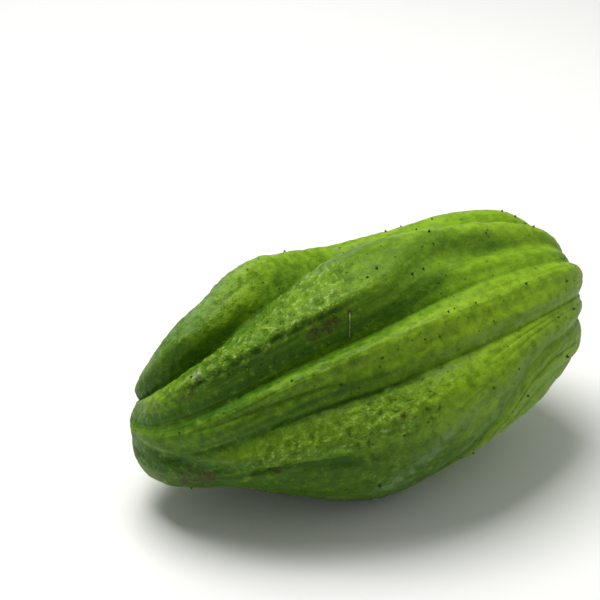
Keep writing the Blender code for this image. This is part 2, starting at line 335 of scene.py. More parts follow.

# %% [markdown]
# ## Patches
# Warts, deeper or brighter green, and wax come in patches. The deeper and brighter patches are
# partly the skin's own tone and partly painted shade and painted light, and the wax is partly a
# painted sheen. A patch is told by the share of the length and the rib count at its middle, by its
# reach both ways and by its strength. Several patches add up to one soft mask. Many ribs are also
# painted brighter on the flank before their crest than on the one after it; on the ribs in view
# this is painted light on the upper flank and painted shade on the lower one.

# %% Patches of warts, of deep and bright green with painted shade and light, and of wax with a painted sheen
Patch = namedtuple("Patch", "share turn along around strength")
# Painted light and shade on the flanks: on the ribs in view the upper flank is painted lighter, the
# lower darker.
FLANK_LIGHT_AND_SHADE = (0.25, 0.0, 0.25, 0.1, 0.2, 0.2, 0.2, 0.2, 0.0)
WARTS = (
    Patch(0.10, 0.50, 0.22, 1.40, 0.35),
    Patch(0.30, 2.20, 0.26, 0.80, 0.35),
    Patch(0.20, 8.60, 0.20, 0.40, 0.45),
    Patch(0.13, 0.40, 0.05, 0.18, 0.7),
    Patch(0.20, 0.42, 0.06, 0.16, 0.9),
    Patch(0.28, 0.44, 0.06, 0.14, 0.9),
    Patch(0.36, 0.42, 0.06, 0.16, 0.9),
    Patch(0.44, 0.38, 0.07, 0.20, 0.6),
    Patch(0.36, 0.22, 0.10, 0.16, 0.4),
    Patch(0.37, 1.30, 0.07, 0.20, 0.5),
    Patch(0.25, 2.24, 0.05, 0.12, 0.8),
    Patch(0.32, 2.25, 0.05, 0.11, 1.0),
    Patch(0.40, 2.24, 0.05, 0.12, 1.0),
    Patch(0.46, 2.30, 0.07, 0.20, 0.5),
    Patch(0.44, 2.12, 0.10, 0.10, 0.4),
    Patch(0.42, 2.70, 0.20, 0.35, 0.3),
)
# Deeper green, partly the skin's own tone and partly painted shade on dark flanks, under crests and
# low down.
DEEP_GREEN_AND_SHADE = (
    Patch(0.22, 0.78, 0.09, 0.22, 0.8),
    Patch(0.36, 0.80, 0.09, 0.20, 0.9),
    Patch(0.48, 0.80, 0.07, 0.20, 1.0),
    Patch(0.58, 0.80, 0.06, 0.16, 0.6),
    Patch(0.54, 0.36, 0.09, 0.22, 0.8),
    Patch(0.45, 0.22, 0.08, 0.20, 0.5),
    Patch(0.74, 0.66, 0.07, 0.10, 0.9),
    Patch(0.67, 0.50, 0.05, 0.14, 0.6),
    Patch(0.45, 1.25, 0.10, 0.20, 0.5),
    Patch(0.24, 1.65, 0.12, 0.20, 0.4),
    Patch(0.35, 1.85, 0.12, 0.12, 0.6),
    Patch(0.35, 2.80, 0.18, 0.28, 1.0),
    Patch(0.50, 3.00, 0.18, 0.40, 1.0),
    Patch(0.14, 2.45, 0.06, 0.22, 1.0),
    Patch(0.40, 1.83, 0.10, 0.07, 0.7),
    Patch(0.58, 0.52, 0.06, 0.10, 0.4),
    Patch(0.13, 2.25, 0.06, 0.16, 0.8),
    Patch(0.30, 0.34, 0.10, 0.14, 0.3),
    Patch(0.28, 2.52, 0.08, 0.10, 0.6),
    Patch(0.22, 0.62, 0.05, 0.05, 0.7),
    Patch(0.31, 0.61, 0.05, 0.05, 0.8),
    Patch(0.40, 0.61, 0.05, 0.05, 0.8),
)
# Brighter green, partly the skin's own tone and partly painted light on places that lie in shade.
BRIGHT_GREEN_AND_LIGHT = (
    Patch(0.32, 8.66, 0.10, 0.14, 0.7),
    Patch(0.20, 8.62, 0.10, 0.12, 0.5),
    Patch(0.24, 8.88, 0.10, 0.12, 0.8),
    Patch(0.10, 8.90, 0.06, 0.10, 0.3),
    Patch(0.09, 0.52, 0.06, 0.30, 0.9),
    Patch(0.32, 0.97, 0.12, 0.07, 0.9),
    Patch(0.20, 2.05, 0.08, 0.16, 0.4),
    Patch(0.70, 1.90, 0.12, 0.10, 0.9),
    Patch(0.70, 1.35, 0.10, 0.20, 0.4),
    Patch(0.70, 2.45, 0.08, 0.12, 0.5),
    Patch(0.60, 2.75, 0.06, 0.15, 0.5),
    Patch(0.87, 1.60, 0.06, 0.20, 0.5),
    Patch(0.76, 1.35, 0.16, 0.35, 0.7),
    Patch(0.62, 1.75, 0.14, 0.20, 0.5),
    Patch(0.80, 1.90, 0.08, 0.20, 0.5),
    Patch(0.60, 2.20, 0.12, 0.14, 0.2),
    Patch(0.76, 2.30, 0.12, 0.20, 0.7),
    Patch(0.90, 1.80, 0.08, 0.60, 0.6),
    Patch(0.85, 2.80, 0.06, 0.30, 0.6),
    Patch(0.88, 8.50, 0.10, 0.30, 0.6),
    Patch(0.69, 1.96, 0.09, 0.12, 0.8),
    Patch(0.86, 1.60, 0.06, 0.20, 0.4),
    Patch(0.30, 2.16, 0.10, 0.14, 0.3),
    Patch(0.42, 2.12, 0.12, 0.12, 0.5),
    Patch(0.66, 1.50, 0.10, 0.20, 0.3),
)
# Wax bloom, mixed with a painted bluish sheen where the skin reflects the surrounding at a slant.
WAX_AND_SHEEN = (
    Patch(0.72, 1.88, 0.16, 0.08, 0.5),
    Patch(0.76, 2.62, 0.10, 0.08, 0.25),
    Patch(0.62, 2.88, 0.10, 0.07, 0.4),
    Patch(0.58, 2.59, 0.03, 0.04, 0.6),
    Patch(0.53, 2.60, 0.03, 0.04, 0.6),
    Patch(0.49, 2.63, 0.03, 0.04, 0.6),
    Patch(0.455, 2.69, 0.03, 0.04, 0.7),
    Patch(0.43, 2.75, 0.03, 0.05, 0.7),
    Patch(0.92, 1.75, 0.04, 0.20, 0.3),
    Patch(0.22, 8.55, 0.12, 0.14, 0.5),
    Patch(0.12, 8.62, 0.06, 0.14, 0.5),
    Patch(0.66, 3.60, 0.12, 0.20, 0.3),
    Patch(0.40, 5.50, 0.20, 0.60, 0.5),
    Patch(0.60, 7.30, 0.20, 0.40, 0.5),
)


def patched(patches, share, turn):
    """Add up soft patches on the skin, no more than 1."""
    total = np.zeros_like(share)
    for patch in patches:
        off = np.mod(turn - patch.turn + len(RIBS) / 2, len(RIBS)) - len(RIBS) / 2
        reach = ((share - patch.share) / patch.along) ** 2 + (off / patch.around) ** 2
        total += patch.strength * np.exp(-reach)
    return np.minimum(total, 1)


skin_warts = patched(WARTS, skin_share, skin_turn)
skin_wax_and_sheen = patched(WAX_AND_SHEEN, skin_share, skin_turn)
# The tone is the bright patches less the deep ones: own tone mixed with painted light and painted
# shade.
skin_tone_light_and_shade = patched(BRIGHT_GREEN_AND_LIGHT, skin_share, skin_turn) - patched(DEEP_GREEN_AND_SHADE, skin_share, skin_turn)
# Painted light on the flank before each crest and painted shade on the flank after it.
flank_light_and_shade = np.array(FLANK_LIGHT_AND_SHADE)[skin_turn.astype(int) % len(RIBS)]
skin_tone_light_and_shade += flank_light_and_shade * np.sin(math.tau * np.mod(skin_turn, 1))
print("warty share of the points:", round(float((skin_warts > 0.3).mean()), 3))

# %% [markdown]
# ## Creases
# Fine creases run along the fruit, in its grooves and between them. The deepest ones lie along the
# crests of the shoulder rib and of the belly rib. A crease is told by the rib count where it starts
# and where it ends, by its width in parts of a rib, its depth in millimetres, and the shares of the
# length it runs between. It fades out towards both of its ends. A bump could draw creases too, but
# the light has to fall on real walls here, so they cut the mesh.

# %% Creases
Crease = namedtuple("Crease", "first last width depth start end")
CREASES = (
    Crease(0.54, 0.56, 0.035, 0.75, 0.12, 0.46),
    Crease(0.93, 0.95, 0.025, 0.40, 0.06, 0.28),
    Crease(0.88, 0.92, 0.030, 0.35, 0.54, 0.80),
    Crease(0.30, 0.24, 0.030, 0.20, 0.55, 0.90),
    Crease(0.74, 0.72, 0.030, 0.18, 0.15, 0.42),
    Crease(1.82, 1.97, 0.025, 0.50, 0.06, 0.24),
    Crease(1.97, 2.03, 0.022, 0.55, 0.20, 0.54),
    Crease(1.48, 1.76, 0.025, 0.40, 0.12, 0.40),
    Crease(1.80, 1.84, 0.035, 0.25, 0.20, 0.45),
    Crease(1.46, 1.50, 0.030, 0.20, 0.20, 0.60),
    Crease(1.22, 1.30, 0.040, 0.18, 0.60, 0.93),
    Crease(1.90, 1.86, 0.030, 0.20, 0.55, 0.92),
    Crease(2.34, 2.56, 0.030, 0.80, 0.12, 0.40),
    Crease(2.56, 2.72, 0.025, 0.50, 0.08, 0.36),
    Crease(2.22, 2.26, 0.020, 0.35, 0.12, 0.24),
    Crease(2.50, 2.44, 0.035, 0.25, 0.36, 0.66),
    Crease(2.18, 2.20, 0.040, 0.22, 0.60, 0.93),
    Crease(2.86, 2.90, 0.035, 0.35, 0.14, 0.44),
    Crease(3.40, 3.42, 0.040, 0.35, 0.60, 0.93),
    Crease(4.50, 4.45, 0.040, 0.30, 0.20, 0.80),
    Crease(5.60, 5.55, 0.040, 0.30, 0.15, 0.85),
    Crease(6.45, 6.50, 0.040, 0.30, 0.15, 0.85),
    Crease(7.60, 7.50, 0.040, 0.30, 0.15, 0.85),
    Crease(8.74, 8.80, 0.030, 0.40, 0.10, 0.34),
    Crease(8.58, 8.62, 0.030, 0.25, 0.14, 0.40),
    Crease(8.89, 8.98, 0.035, 0.60, 0.05, 0.28),
)
CREASE_FADE = 0.05


def creased(share, turn):
    """Give how deep the creases cut the skin at each point, in millimetres."""
    depth = np.zeros_like(share)
    for crease in CREASES:
        run = (share - crease.start) / (crease.end - crease.start)
        off = turn - crease.first - (crease.last - crease.first) * run
        inside = np.minimum(share - crease.start, crease.end - share) / CREASE_FADE
        depth += crease.depth * np.clip(inside, 0, 1) * np.exp(-(off / crease.width) ** 2)
    return depth


skin_creases = creased(skin_share, skin_turn)
print("deepest crease:", round(float(skin_creases.max()), 2), "mm")

# %% [markdown]
# ## Fine relief
# A real skin is never smooth: soft lumps, veins that run lengthwise, and crinkles and small warts in
# patches. Each is a fixed noise, the same in every run, the veins' on the straightened fruit and
# the others' in space. A crinkle is a noise that is folded over into sharp ridges. Every point is
# pushed along its normal by their sum, less the creases. The relief fades out at both poles and
# where the fruit lies on the table.

# %% Push the skin's points
LUMP_SIZE, LUMP_HEIGHT = 8.0, 0.50
VEIN_WIDTH, VEIN_LENGTH, VEIN_HEIGHT = 2.6, 26.0, 0.14
DIMPLE_SIZE, DIMPLE_HEIGHT = 2.8, 0.24
CRINKLE_SIZE, CRINKLE_HEIGHT = 3.2, 0.95
CRINKLE_MIDDLE = 0.5
WART_SIZE, WART_HEIGHT = 1.7, 0.60
POLE_FADE = 0.3
TABLE_FADE_HEIGHT = 2.0


def noise_over(places, sizes):
    """Give a fixed noise, about -1 to 1, at each place; its size is set for each axis."""
    scaled = places / np.array(sizes, float)
    return np.array([noise.noise(Vector(place)) for place in scaled])


vein = noise_over(skin_straight, (VEIN_WIDTH, VEIN_WIDTH, VEIN_LENGTH))
push = LUMP_HEIGHT * noise_over(skin_places, (LUMP_SIZE,) * 3)
push += VEIN_HEIGHT * vein
push += DIMPLE_HEIGHT * noise_over(skin_places, (DIMPLE_SIZE,) * 3)
crinkle = 1 - 2 * np.abs(noise_over(skin_places, (CRINKLE_SIZE,) * 3))
wart = noise_over(skin_places, (WART_SIZE,) * 3)
push += skin_warts * (CRINKLE_HEIGHT * (crinkle - CRINKLE_MIDDLE) + WART_HEIGHT * wart)
push -= skin_creases
skin_crinkle = skin_warts * (crinkle + wart)
push *= np.sin(skin_polar) ** POLE_FADE
for vertex, way in zip(skin_bm.verts, push):
    vertex.co += vertex.normal * way * MM * min(1, vertex.co.z / MM / TABLE_FADE_HEIGHT)
    vertex.co.z = max(vertex.co.z, 0)
print("relief from", round(float(push.min()), 2), "to", round(float(push.max()), 2), "mm")

# %% [markdown]
# ## The skin as a piece
# The finished mesh stands for the whole CAD fruit. Its straightened place, its crest share and its
# masks are kept on its points, where the material can read them.

# %% Make the skin
PIECES = bpy.data.collections.new("caigua")
bpy.context.scene.collection.children.link(PIECES)


def make_piece(name, bm):
    """Turn an edited mesh into a smooth piece that rides on the fruit's body."""
    mesh = bpy.data.meshes.new(name)
    bm.to_mesh(mesh)
    bm.free()
    mesh.shade_smooth()
    made = bpy.data.objects.new(name, mesh)
    PIECES.objects.link(made)
    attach(made, "root")
    return made


def keep_values(piece, name, values):
    """Keep one number for each point of a piece."""
    kept = piece.data.attributes.new(name, "FLOAT", "POINT")
    kept.data.foreach_set("value", np.asarray(values, np.float32))


def keep_places(piece, name, places):
    """Keep one place for each point of a piece."""
    kept = piece.data.attributes.new(name, "FLOAT_VECTOR", "POINT")
    kept.data.foreach_set("vector", np.asarray(places, np.float32).ravel())


SKIN_MASKS = {"share": skin_share, "crest": skin_crest, "warts": skin_warts, "wax_and_sheen": skin_wax_and_sheen,
              "tone_light_and_shade": skin_tone_light_and_shade, "crinkle": skin_crinkle, "creases": skin_creases}
skin = make_piece("skin", skin_bm)
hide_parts("fruit")
keep_places(skin, "straight", skin_straight * MM)
for mask_name, mask_values in SKIN_MASKS.items():
    keep_values(skin, mask_name, mask_values)
print("skin triangles:", sum(len(face.vertices) - 2 for face in skin.data.polygons))

# %% [markdown]
# ## Small helpers for materials
# A material is a chain of nodes. These helpers add a node, a noise, a soft step or a mix, so that
# each recipe below reads as a list of what is laid over what. The numbers of a step are its two
# limits and then the two amounts it runs between.

# %% Material helpers
DOT_EDGE = 1.8
SPARED_EDGE = 0.1
RAGGED_REACH = 3.0
FULL_WITHIN = 0.35


def start_material(name):
    """Make a material and give it with its node tree and its shader."""
    material = bpy.data.materials.new(name)
    material.use_nodes = True
    tree = material.node_tree
    return material, tree, tree.nodes["Principled BSDF"]


def add_node(tree, kind, **traits):
    """Add a node and set its traits."""
    node = tree.nodes.new(kind)
    for trait, value in traits.items():
        setattr(node, trait, value)
    return node


def put(tree, socket, value):
    """Link a socket to another node's output, or set it."""
    if isinstance(value, bpy.types.NodeSocket):
        tree.links.new(value, socket)
    else:
        socket.default_value = value


def kept_value(tree, name):
    """Read a number that was kept on the points."""
    return add_node(tree, "ShaderNodeAttribute", attribute_name=name).outputs["Fac"]


def stretched(tree, places, scale):
    """Stretch or squeeze coordinates."""
    node = add_node(tree, "ShaderNodeMapping")
    put(tree, node.inputs["Vector"], places)
    node.inputs["Scale"].default_value = scale
    return node.outputs["Vector"]


def grain(tree, places, scale, detail=3.0, roughness=0.55):
    """Give a noise between 0 and 1."""
    node = add_node(tree, "ShaderNodeTexNoise")
    put(tree, node.inputs["Vector"], places)
    node.inputs["Scale"].default_value = scale
    node.inputs["Detail"].default_value = detail
    node.inputs["Roughness"].default_value = roughness
    return node.outputs["Fac"]


def step(tree, value, low, high, out_low=0.0, out_high=1.0):
    """Rise smoothly from one value to another between two limits."""
    node = add_node(tree, "ShaderNodeMapRange", interpolation_type="SMOOTHSTEP")
    put(tree, node.inputs["Value"], value)
    node.inputs["From Min"].default_value = low
    node.inputs["From Max"].default_value = high
    node.inputs["To Min"].default_value = out_low
    node.inputs["To Max"].default_value = out_high
    return node.outputs["Result"]


def sum_up(tree, operation, first, second):
    """Add, subtract or multiply two numbers."""
    node = add_node(tree, "ShaderNodeMath", operation=operation)
    put(tree, node.inputs[0], first)
    put(tree, node.inputs[1], second)
    return node.outputs[0]


def lay_over(tree, amount, below, above):
    """Lay one colour over another."""
    node = add_node(tree, "ShaderNodeMix", data_type="RGBA")
    put(tree, node.inputs[0], amount)
    put(tree, node.inputs[6], below)
    put(tree, node.inputs[7], above)
    return node.outputs[2]


def dotted(tree, places, scale, size, spared):
    """Give scattered dots, one to a cell of a fixed pattern; a share of the cells is spared."""
    cells = add_node(tree, "ShaderNodeTexVoronoi")
    put(tree, cells.inputs["Vector"], places)
    cells.inputs["Scale"].default_value = scale
    chosen = add_node(tree, "ShaderNodeSeparateColor")
    put(tree, chosen.inputs[0], cells.outputs["Color"])
    dot = step(tree, cells.outputs["Distance"], size, size * DOT_EDGE, 1.0, 0.0)
    drawn = step(tree, chosen.outputs[0], spared, spared + SPARED_EDGE)
    return sum_up(tree, "MULTIPLY", dot, drawn)


def near(tree, places, middle, radius, ragged):
    """Give a mask round a place, its edge made ragged by a noise."""
    node = add_node(tree, "ShaderNodeVectorMath", operation="DISTANCE")
    put(tree, node.inputs[0], places)
    node.inputs[1].default_value = middle * MM
    reach = radius * RAGGED_REACH * MM
    off = sum_up(tree, "MULTIPLY", sum_up(tree, "SUBTRACT", ragged, 0.5), reach)
    distance = sum_up(tree, "ADD", node.outputs["Value"], off)
    return step(tree, distance, radius * FULL_WITHIN * MM, radius * MM, 1.0, 0.0)


print("helpers ready")

# %% [markdown]
# ## The skin's colour
# The blossom end is deep green, and the stem end has ripened to yellow green. Crests are lighter
# and yellower than grooves, partly in their own colour and partly as painted light on the crests and
# painted shade in the grooves. Over that lie patches of deeper and brighter green that are partly
# painted shade and light, cloudy mottling, lengthwise streaks, pale pores, painted shade in the
# creases, painted shade and light on the crinkles with small painted highlights, dark dots, and a
# thin bluish wax in patches that also holds a painted reflection.

# %% Skin colour
DEEP_GREEN = (0.046, 0.144, 0.006, 1)
RIPE_GREEN = (0.200, 0.374, 0.008, 1)
CREST_GREEN = (0.288, 0.474, 0.018, 1)
GROOVE_GREEN = (0.026, 0.094, 0.003, 1)
PORE_GREEN = (0.330, 0.430, 0.130, 1)
SPECK_BROWN = (0.046, 0.050, 0.010, 1)
# Pale bluish green of the wax bloom and of a painted reflection.
WAX_AND_SHEEN_BLUE = (0.200, 0.325, 0.160, 1)
# Pale green of the painted highlights on the wart ridges.
GLINT_PALE = (0.340, 0.520, 0.130, 1)
SCAR_BROWN = (0.052, 0.034, 0.012, 1)
SCUFF_PALE = (0.420, 0.440, 0.330, 1)

skin_material, tree, shader = start_material("caigua_skin")
on_object = add_node(tree, "ShaderNodeTexCoord").outputs["Object"]
on_fruit = add_node(tree, "ShaderNodeAttribute", attribute_name="straight").outputs["Vector"]
share_value = kept_value(tree, "share")
crest_value = kept_value(tree, "crest")
warts_value = kept_value(tree, "warts")
wax_and_sheen_value = kept_value(tree, "wax_and_sheen")
tone_light_and_shade_value = kept_value(tree, "tone_light_and_shade")
crinkle_value = kept_value(tree, "crinkle")
creases_value = kept_value(tree, "creases")

clouds = grain(tree, on_object, 60, 3)
mottle = grain(tree, on_object, 240, 4, 0.6)
smudges = grain(tree, on_object, 330, 5, 0.68)
fine = grain(tree, on_object, 900, 3, 0.6)
streaks = grain(tree, stretched(tree, on_fruit, (1, 1, 0.07)), 420, 3, 0.6)
pores = grain(tree, on_object, 1100, 1, 0.5)

ripeness = sum_up(tree, "ADD", share_value, sum_up(tree, "MULTIPLY", clouds, 0.35))
colour = lay_over(tree, step(tree, ripeness, 0.30, 0.92), DEEP_GREEN, RIPE_GREEN)
# Crests lighter and yellower, grooves darker: partly own colour, partly painted light on crests and
# painted shade in grooves.
crest_green_and_light = sum_up(tree, "MULTIPLY", step(tree, crest_value, 0.35, 1.0, 0.0, 0.55),
                      step(tree, ripeness, 0.25, 0.8, 0.35, 1.0))
colour = lay_over(tree, crest_green_and_light, colour, CREST_GREEN)
groove_green_and_shade = sum_up(tree, "MULTIPLY", step(tree, crest_value, 0.0, 0.45, 0.32, 0.0),
                       step(tree, share_value, 0.50, 0.80, 1.0, 0.2))
colour = lay_over(tree, groove_green_and_shade, colour, GROOVE_GREEN)
# The tone lays painted shade and painted light over the colour, mixed with the skin's own deeper and
# brighter green.
colour = lay_over(tree, step(tree, tone_light_and_shade_value, -1.0, 0.0, 0.75, 0.0), colour, GROOVE_GREEN)
colour = lay_over(tree, step(tree, tone_light_and_shade_value, 0.0, 1.0, 0.0, 0.72), colour, CREST_GREEN)
colour = lay_over(tree, step(tree, mottle, 0.35, 0.62, 0.38, 0.0), colour, GROOVE_GREEN)
unripe = step(tree, share_value, 0.40, 0.85, 1.0, 0.35)
dark_smudges = sum_up(tree, "MULTIPLY", step(tree, smudges, 0.34, 0.52, 0.50, 0.0), unripe)
pale_smudges = sum_up(tree, "MULTIPLY", step(tree, smudges, 0.52, 0.72, 0.0, 0.40), unripe)
colour = lay_over(tree, dark_smudges, colour, GROOVE_GREEN)
colour = lay_over(tree, pale_smudges, colour, CREST_GREEN)
colour = lay_over(tree, step(tree, streaks, 0.45, 0.70, 0.0, 0.16), colour, CREST_GREEN)
colour = lay_over(tree, step(tree, streaks, 0.28, 0.46, 0.20, 0.0), colour, GROOVE_GREEN)
colour = lay_over(tree, step(tree, pores, 0.62, 0.78, 0.0, 0.12), colour, PORE_GREEN)
colour = lay_over(tree, step(tree, fine, 0.28, 0.42, 0.35, 0.0), colour, GROOVE_GREEN)
# Painted shade in the creases, darker the deeper they cut.
colour = lay_over(tree, step(tree, creases_value, 0.05, 0.70, 0.0, 0.75), colour, GROOVE_GREEN)
colour = lay_over(tree, step(tree, warts_value, 0.3, 1.0, 0.0, 0.35), colour, DEEP_GREEN)
# Painted shade in the crinkles' folds and painted light on their ridges, with small painted
# highlights on top.
colour = lay_over(tree, step(tree, crinkle_value, -0.5, 0.15, 0.68, 0.0), colour, GROOVE_GREEN)
colour = lay_over(tree, step(tree, crinkle_value, 0.35, 1.05, 0.0, 0.30), colour, CREST_GREEN)
painted_glints = sum_up(tree, "MULTIPLY", step(tree, crinkle_value, 0.45, 0.9),
                step(tree, grain(tree, on_object, 850, 2, 0.5), 0.52, 0.66, 0.0, 0.75))
colour = lay_over(tree, painted_glints, colour, GLINT_PALE)
dots = dotted(tree, on_object, 270, 0.075, 0.45)
colour = lay_over(tree, sum_up(tree, "MULTIPLY", dots, 0.65), colour, SPECK_BROWN)
# A pale bluish layer, partly the wax bloom's own colour and partly a painted reflection.
wax_and_sheen_amount = sum_up(tree, "MULTIPLY", wax_and_sheen_value, step(tree, mottle, 0.38, 0.60, 0.1, 0.8))
colour = lay_over(tree, wax_and_sheen_amount, colour, WAX_AND_SHEEN_BLUE)
print("colour layers laid")

# %% [markdown]
# ## Scars
# Rubbed and healed places are brown with a ragged edge, and a fresh scuff is pale. Each lies at a
# place on the skin, so it stays there from every side.

# %% Scars and scuffs
Mark = namedtuple("Mark", "share turn radius colour strength")
MARKS = (
    Mark(0.356, 0.70, 3.0, SCAR_BROWN, 0.85),
    Mark(0.380, 0.68, 3.4, SCAR_BROWN, 0.90),
    Mark(0.398, 0.67, 2.2, SPECK_BROWN, 0.90),
    Mark(0.141, 0.56, 3.0, SCAR_BROWN, 0.65),
    Mark(0.128, 0.66, 2.2, SCAR_BROWN, 0.60),
    Mark(0.151, 0.38, 2.6, SCUFF_PALE, 0.75),
    Mark(0.125, 2.28, 11.0, SPECK_BROWN, 0.60),
    Mark(0.073, 2.23, 5.0, SCAR_BROWN, 0.45),
    Mark(0.114, 2.30, 4.0, SCAR_BROWN, 0.50),
    Mark(0.150, 2.30, 4.5, SCAR_BROWN, 0.85),
    Mark(0.0, 0.0, 3.6, SCAR_BROWN, 0.80),
    Mark(1.0, 0.0, 7.5, SCAR_BROWN, 0.55),
    Mark(0.452, 2.23, 1.5, SCAR_BROWN, 1.00),
    Mark(0.435, 0.34, 1.3, SCAR_BROWN, 0.90),
    Mark(0.373, 1.76, 1.6, SCAR_BROWN, 1.00),
    Mark(0.425, 0.64, 1.0, SPECK_BROWN, 1.00),
    Mark(0.250, 2.47, 2.4, SPECK_BROWN, 0.75),
    Mark(0.222, 2.45, 3.0, SPECK_BROWN, 0.45),
    Mark(0.283, 2.58, 1.6, SPECK_BROWN, 0.60),
    Mark(0.325, 2.62, 1.8, SPECK_BROWN, 0.50),
)
ragged = grain(tree, on_object, 520, 3, 0.65)
blotches = step(tree, fine, 0.36, 0.60, 0.30, 1.0)
for mark in MARKS:
    middle = place_on_skin(mark.share, mark.turn)
    mask = sum_up(tree, "MULTIPLY", near(tree, on_object, middle, mark.radius, ragged), mark.strength)
    mask = sum_up(tree, "MULTIPLY", mask, blotches)
    colour = lay_over(tree, mask, colour, mark.colour)
put(tree, shader.inputs["Base Color"], colour)
print("marks:", len(MARKS))

# %% [markdown]
# ## The skin's gloss
# Caigua skin is waxy. It shines softly, more on the warts and less under the bloom of wax, and the
# finest veins and pores are too small for the mesh, so a bump adds them.

# %% Skin gloss and bump
SKIN_SPECULAR = 0.16
SKIN_BUMP_DEPTH = 0.0007

dullness = sum_up(tree, "ADD", step(tree, mottle, 0.3, 0.7, 0.44, 0.60),
                  sum_up(tree, "MULTIPLY", wax_and_sheen_value, 0.14))
dullness = sum_up(tree, "SUBTRACT", dullness, sum_up(tree, "MULTIPLY", warts_value, 0.20))
put(tree, shader.inputs["Roughness"], dullness)
shader.inputs["Specular IOR Level"].default_value = SKIN_SPECULAR
shader.inputs["Specular Tint"].default_value = (1.0, 1.0, 0.75, 1)
shader.inputs["Coat Weight"].default_value = 0.03
shader.inputs["Coat Roughness"].default_value = 0.25
shader.inputs["Subsurface Weight"].default_value = 0.06
shader.inputs["Subsurface Radius"].default_value = (1.0, 1.4, 0.3)
shader.inputs["Subsurface Scale"].default_value = 0.002

wart_bump = sum_up(tree, "MULTIPLY", grain(tree, on_object, 620, 3, 0.65),
                   step(tree, warts_value, 0.10, 1.0, 0.25, 1.8))
height = sum_up(tree, "ADD", sum_up(tree, "MULTIPLY", streaks, 0.35), wart_bump)
height = sum_up(tree, "ADD", height, sum_up(tree, "MULTIPLY", mottle, 0.7))
height = sum_up(tree, "ADD", height, sum_up(tree, "MULTIPLY", dots, 0.5))
bump = add_node(tree, "ShaderNodeBump")
put(tree, bump.inputs["Height"], height)
bump.inputs["Strength"].default_value = 1.0
bump.inputs["Distance"].default_value = SKIN_BUMP_DEPTH
put(tree, shader.inputs["Normal"], bump.outputs["Normal"])
skin.data.materials.append(skin_material)
print("skin nodes:", len(tree.nodes))

# %% [markdown]
# ## The prickles
# Short soft prickles stand on the ribs. Each is a small sphere drawn out into a spine that stands
# square to the skin, broad at its foot and narrow at its tip.

# %% Prickles
PRICKLES_PER_RIB = 7
PRICKLE_SEED = 41
PRICKLE_ENDS_CLEAR = 0.10
PRICKLE_SPREAD = 0.22
PRICKLE_LOWEST = 9.0
PRICKLE_HEIGHT = 0.9
PRICKLE_RADIUS = 0.9
PRICKLE_SUNK = 0.8
PRICKLE_RINGS = 7
SPINE_TIP = 0.30
SPINE_TAPER = 1.4
SLOPE_STEP = 0.01


def point_and_normal(polar, turn):
    """Give one point of the skin and the direction that stands on it."""
    polars = np.array([polar, polar + SLOPE_STEP, polar, polar - SLOPE_STEP, polar])
    turns = np.array([turn, turn, turn + SLOPE_STEP, turn, turn - SLOPE_STEP])
    here, ahead, around, behind, before = skin_points(polars, turns)
    normal = Vector(np.cross(ahead - behind, around - before)).normalized()
    middle = Vector(core_points(np.array([(1 - math.cos(polar)) / 2]))[0])
    if normal.dot(Vector(here) - middle) < 0:
        normal.negate()
    return Vector(here), normal


def grow_spine(bm, foot, direction, height, radius, sunk, rings):
    """Draw a small sphere out into a spine on the skin and give how far up its points stand."""
    made = bmesh.ops.create_uvsphere(bm, u_segments=rings + 1, v_segments=rings, radius=1)["verts"]
    turning = direction.to_track_quat("Z", "Y").to_matrix()
    rises = []
    for vertex in made:
        rise = (vertex.co.z + 1) / 2
        width = radius * (SPINE_TIP + (1 - SPINE_TIP) * (1 - rise) ** SPINE_TAPER)
        local = Vector((vertex.co.x * width, vertex.co.y * width, rise * (height + sunk) - sunk))
        vertex.co = (foot + turning @ local) * MM
        rises.append(rise)
    return rises


prickle_bm = bmesh.new()
prickle_rises = []
pick = random.Random(PRICKLE_SEED)
for rib in range(len(RIBS)):
    for number in range(PRICKLES_PER_RIB):
        part_way = (number + pick.random()) / PRICKLES_PER_RIB
        share = PRICKLE_ENDS_CLEAR + (1 - 2 * PRICKLE_ENDS_CLEAR) * part_way
        turn = rib + 0.5 + pick.uniform(-PRICKLE_SPREAD, PRICKLE_SPREAD)
        foot, direction = point_and_normal(polar_of(share), turn)
        if foot.z > PRICKLE_LOWEST:
            prickle_rises += grow_spine(prickle_bm, foot, direction, PRICKLE_HEIGHT,
                                        PRICKLE_RADIUS, PRICKLE_SUNK, PRICKLE_RINGS)
prickles = make_piece("prickles", prickle_bm)
keep_values(prickles, "rise", prickle_rises)
print("prickle triangles:", sum(len(face.vertices) - 2 for face in prickles.data.polygons))

# %% [markdown]
# ## Specks
# Between the prickles stand many tiny dark specks, where a prickle has broken off or never grew.
# They are the same small form, but squat, and are scattered with a seed over the whole skin but its
# two ends and its resting place. Sixteen larger ones lie at places of their own. Painted dots would
# do from afar, but close by a speck catches the light, so each is a small solid with few faces.

